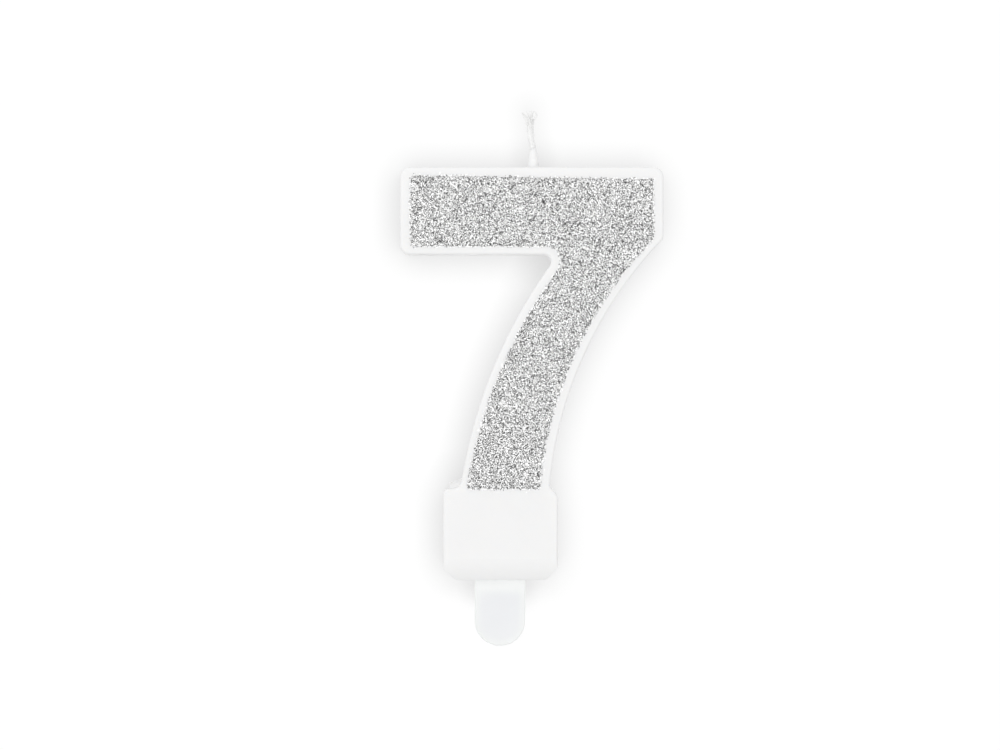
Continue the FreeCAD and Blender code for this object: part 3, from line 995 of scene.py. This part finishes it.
@dataclass
class Wick:
    """The cotton wick: three plies of yarn, loose at the tip, and the wax drawn up round its foot."""

    plies: list[Thing]
    seal: Thing
    top: float
    cotton: Material
    wax: Material
    yarns: int = 7
    yarn_sides: int = 8
    yarn_radius: float = 0.086 * MM
    yarn_ring: float = 0.14 * MM
    yarn_lay: float = 2.3 * MM
    yarn_fluff: float = 0.4
    lay: float = 5.0 * MM
    band: float = 0.2 * MM
    opens: float = 6.3 * MM
    hairs: int = 90
    hairs_at_tip: float = 0.55
    hair_radii: Span = (0.017 * MM, 0.008 * MM)
    skin_sides: int = 48
    skin_radius: float = 0.54 * MM
    skin_tip: float = 1.3 * MM
    skin_lobe: float = 0.05
    skin_from: float = 2.0 * MM
    skin_wave: float = 0.5 * MM
    meniscus_sides: int = 60
    seed: int = 11

    def __post_init__(self) -> None:
        """Finds the wick's line from the three plies' solids."""
        self.rng = np.random.default_rng(self.seed)
        cloud = np.concatenate([vertices_of(ply) for ply in self.plies])
        middle = cloud.mean(0)
        axis = np.linalg.svd(cloud - middle, full_matrices=False)[2][0]
        self.axis = axis * np.sign(axis[2])
        self.root = middle + self.axis * (self.top - middle[2]) / self.axis[2]
        self.side = unit(np.cross((0.0, 1.0, 0.0), self.axis))
        self.deep = np.cross(self.axis, self.side)
        along = (cloud - self.root) @ self.axis
        self.low, self.high = float(along.min()), float(along.max())

    def _spin(self, ply: Thing, height: float) -> Span:
        """Where a ply stands round the wick.

        Args:
            ply: The ply's solid.
            height: How far along the wick from the wax, in metres.

        Returns:
            Its angle and its distance from the wick's line.
        """
        points = vertices_of(ply) - self.root
        near = points[np.abs(points @ self.axis - height) < self.band].mean(0)
        x, y = near @ self.side, near @ self.deep
        return math.atan2(y, x), math.hypot(x, y)

    def _middle(self, heights: Array) -> Array:
        """The wick's line at heights above the wax. It sways a little to the side on its way up."""
        aside = np.interp(heights, *(np.array(SWAY).T * MM))
        return self.root + heights[:, None] * self.axis + aside[:, None] * self.side

    def _round(self, turns: Array) -> Array:
        """Steps of length 1 away from the wick's line, at the given turns round it."""
        return circle(turns, self.side, self.deep)

    def _yarn(self, stock: MeshStock, rope: Array, course: TipCourse, number: int) -> None:
        """Adds one yarn of a ply, with its loose end.

        Args:
            stock: The ply's mesh.
            rope: The ply's line, up to where it opens.
            course: Where the loose end goes.
            number: Which yarn it is. Yarn 0 is the ply's core.
        """
        share = self.rng.uniform(0.92, 1.0)
        drift = self.rng.normal(0, 0.35, 3) * (1, 1, 0.6) * course.spread * MM
        part = (np.arange(len(course.steps)) + 1)[:, None] / len(course.steps)
        steps = np.array(course.steps) * MM * (1 - (1 - share) * part) + drift * part
        tip = smooth_line([rope[-1], *(rope[-1] + steps)], 0.12 * MM)
        line = np.concatenate([rope, tip[1:]])
        lengths = np.cumsum(np.linalg.norm(np.diff(line, axis=0, prepend=line[:1]), axis=1))
        lengths -= lengths[len(rope) - 1]
        loose = (lengths / lengths[-1]).clip(0, 1)
        spread = course.spread * MM * self.rng.uniform(0.3, 1.0)
        ring = (self.yarn_ring if number else 0.0) * (1 - loose) + spread * loose
        turn = number * TURN / (self.yarns - 1) - lengths * TURN / self.yarn_lay * (1 - 0.6 * loose)
        ways = unit(np.gradient(line, axis=0))
        across = unit(np.cross(ways, FORWARD))
        fluff = 1 + self.yarn_fluff * np.sin(math.pi * loose)
        radii = self.yarn_radius * fluff * (1 - (1 - course.end) * loose**1.5)
        aside = ring[:, None] * circle(turn, across, np.cross(ways, across))
        stock.tube(line + aside, radii, self.yarn_sides)

    def _ply(self, number: int) -> None:
        """Makes a ply and lets it stand for its solid.

        Args:
            number: Which ply, from left to right where they open.
        """
        solid = self.plies[number]
        angle, ring = self._spin(solid, self.low + self.band)
        heights = np.arange(self.low, self.opens, 0.22 * MM)
        turns = angle + (heights - self.low - self.band) * TURN / self.lay
        rope = self._middle(heights) + ring * self._round(turns)
        stock = MeshStock()
        courses = [course for course in LOOSE_ENDS[number] for _ in range(course.yarns)]
        for yarn, course in enumerate(courses):
            self._yarn(stock, rope, course, yarn)
        piece = stock.piece(f"wick_ply_{number + 1}", Slot.WICK, self.cotton)
        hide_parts(solid.name)

    def _fuzz(self) -> None:
        """Adds the fine hairs that stand off the cotton, more and longer ones at the tip."""
        rng = self.rng
        stock = MeshStock()
        for _ in range(self.hairs):
            tip = rng.uniform() < self.hairs_at_tip
            height = self.opens + rng.uniform(0.2, 2.6) * MM if tip else rng.uniform(2.6 * MM, self.opens)
            out = self._round(rng.uniform(0, TURN))
            start = self._middle(np.array([height]))[0] + out * (0.35 if tip else 0.42) * MM
            length = rng.uniform(0.35, 1.1) * MM * (1.0 if tip else 0.6)
            lean = out * rng.uniform(0.2, 0.7) + self.axis * rng.uniform(0.4, 1.0)
            curl = rng.normal(0, 0.45, 3)
            knots = [start, start + lean * length * 0.5, start + (lean + 0.5 * curl) * length]
            line = smooth_line(knots, 0.12 * MM)
            stock.tube(line, np.linspace(*self.hair_radii, len(line)), 4)
        stock.piece("wick_fuzz", Slot.WICK, self.cotton)

    def _skin(self) -> None:
        """Adds the thin wax that holds the plies together below their loose ends."""
        rise = np.arange(self.skin_from, self.opens + self.skin_tip, 0.08 * MM)
        past = ((rise - self.opens) / self.skin_tip).clip(0, 1)
        under = ((rise - self.skin_from) / self.skin_wave).clip(0, 1)
        girth = self.skin_radius * (1 - 0.45 * past**2) * (0.8 + 0.2 * under)
        angle, _ = self._spin(self.plies[0], self.low + self.band)
        turns = even_turns(self.skin_sides)
        rings = []
        for height, middle, radius in zip(rise, self._middle(rise), girth, strict=True):
            twist = angle + (height - self.low - self.band) * TURN / self.lay
            lobes = 1 + self.skin_lobe * np.cos(3 * (turns - twist))
            lobes += 0.02 * np.sin(turns + height / self.skin_wave)
            rings.append(middle + (radius * lobes)[:, None] * self._round(turns))
        stock = MeshStock()
        stock.sleeve(rings)
        stock.piece("wick_skin", Slot.WICK, self.cotton)

    def _meniscus(self) -> None:
        """Makes the wax that was drawn up round the wick's foot, in place of its solid."""
        turns = even_turns(self.meniscus_sides)
        rings = []
        for radius, height in smooth_line(MENISCUS, 0.09):
            twist = height * MM * TURN / self.lay
            lobes = 0.03 * np.cos(3 * (turns - twist)) + 0.02 * np.sin(2 * turns + 0.7)
            fade = min(max(height / 1.5, 0.0), 1.0)
            reach = radius * MM * (1 + lobes * fade)
            climb = height * MM * (1 + 0.12 * fade * np.sin(turns + 0.9))
            rings.append(self._middle(climb) + reach[:, None] * self._round(turns))
        stock = MeshStock()
        stock.sleeve(rings)
        piece = stock.piece("wick_meniscus", Slot.WAX, self.wax)
        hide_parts(self.seal.name)

    def _aside(self, ply: Thing) -> float:
        """How far to the side a ply stands where the plies open."""
        angle, ring = self._spin(ply, self.opens)
        return ring * math.cos(angle)

    def build(self) -> None:
        """Makes the plies, the skin, the fuzz and the drawn-up wax."""
        self.plies.sort(key=self._aside)
        for number in range(len(self.plies)):
            self._ply(number)
        self._skin()
        self._fuzz()
        self._meniscus()


@dataclass
class Studio:
    """A white sheet close behind the candle, a bright room and a large soft lamp."""

    sheet_finish: SheetFinish
    back: float
    eye_height: float = 34.77 * MM
    stand_off: float = 941.4 * MM
    lens: float = 200.0
    sheet_gap: float = 0.5 * MM
    sheet_half: float = 0.6
    room: float = 0.74
    key_power: float = 3.4
    key_place: Place = (-0.2, -0.95, 0.25)
    key_size: float = 1.2

    def _sheet(self) -> None:
        """Hangs the white sheet, which shows only to the camera."""
        half, depth = self.sheet_half, self.back + self.sheet_gap
        corners = [(x * half, depth, z * half) for x, z in ((-1, -1), (1, -1), (1, 1), (-1, 1))]
        mesh = bpy.data.meshes.new("white_sheet")
        mesh.from_pydata(corners, [], [[0, 1, 2, 3]])
        mesh.materials.append(self.sheet_finish.material)
        sheet = add_thing("white_sheet", mesh)
        for light in ("diffuse", "glossy", "transmission", "shadow"):
            setattr(sheet, f"visible_{light}", False)

    def _room(self) -> None:
        """Lights the room evenly, and shows it white to the camera, in gloss and through plastic."""
        world = bpy.data.worlds.new("white_room")
        world.use_nodes = True
        bpy.context.scene.world = world
        graph = Graph(world.node_tree)
        seen = graph.add("ShaderNodeLightPath").outputs
        direct = graph.maths("MAXIMUM", seen["Is Camera Ray"], seen["Is Glossy Ray"])
        shown = graph.maths("MAXIMUM", direct, seen["Is Transmission Ray"])
        strength = graph.remap(shown, 0.0, 1.0, self.room, 1.0)
        graph.feed(world.node_tree.nodes["Background"], {"Color": (1.0, 1.0, 1.0), "Strength": strength})

    def _lamp(self) -> None:
        """Adds a large soft lamp aimed at the candle's middle."""
        light = bpy.data.lights.new("key", "AREA")
        light.shape = "DISK"
        light.size = self.key_size
        light.energy = self.key_power
        lamp = add_thing("key", light)
        lamp.location = Vector(self.key_place) + Vector((0, 0, self.eye_height))
        lamp.rotation_euler = Vector(self.key_place).to_track_quat("Z", "Y").to_euler()
        lamp.visible_camera = False

    def _camera(self) -> None:
        """Sets the camera in front of the candle, level with its middle."""
        data = bpy.data.cameras.new("camera")
        data.lens = self.lens
        data.clip_start = 0.01
        camera = add_thing("camera", data)
        camera.location = (0.0, -self.back - self.stand_off, self.eye_height)
        camera.rotation_euler = (math.pi / 2, 0.0, 0.0)
        bpy.context.scene.camera = camera

    def build(self) -> None:
        """Sets up the sheet, the light and the camera."""
        self._camera()
        self._sheet()
        self._room()
        self._lamp()
        bpy.context.scene.view_settings.view_transform = "Standard"
        log.info("studio: sheet, room, lamp and camera")


def main() -> None:
    """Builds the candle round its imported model."""
    logging.basicConfig(level=logging.INFO, format="%(name)s: %(message)s")
    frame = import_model()
    nodes = {solid: frame["nodes"][solid.value] for solid in Solid}
    effects = SharedEffects()
    body = nodes[Solid.WAX_BODY]
    _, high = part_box(body.name)

    wax = WaxFinish("cast_wax", effects)
    WaxDigit(body, wax).build()
    GlitterFace(
        nodes[Solid.COAT],
        nodes[Solid.GLUE],
        body,
        CoatFinish("glitter_bed", effects),
        GlueFinish("dried_glue", effects),
        FlakeFinish("foil_flakes", effects),
    ).build()
    plies = [nodes[strand] for strand in (Solid.STRAND_1, Solid.STRAND_2, Solid.STRAND_3)]
    cotton = CottonFinish("waxed_cotton", effects)
    wick = Wick(plies, nodes[Solid.SEAL], high.z, cotton.material, wax.material)
    wick.build()
    pick = nodes[Solid.PICK]
    left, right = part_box(pick.name)
    half_width = (right.x - left.x) / 2
    CakePick(pick, PickFinish("milky_plastic", effects, half_width, left.z + half_width)).build()
    foot, tip = Vector(wick.root), Vector(wick.root + wick.high * wick.axis)
    Studio(SheetFinish("white_sheet", effects, foot, tip), back=high.y).build()


if __name__ == "__main__":
    main()
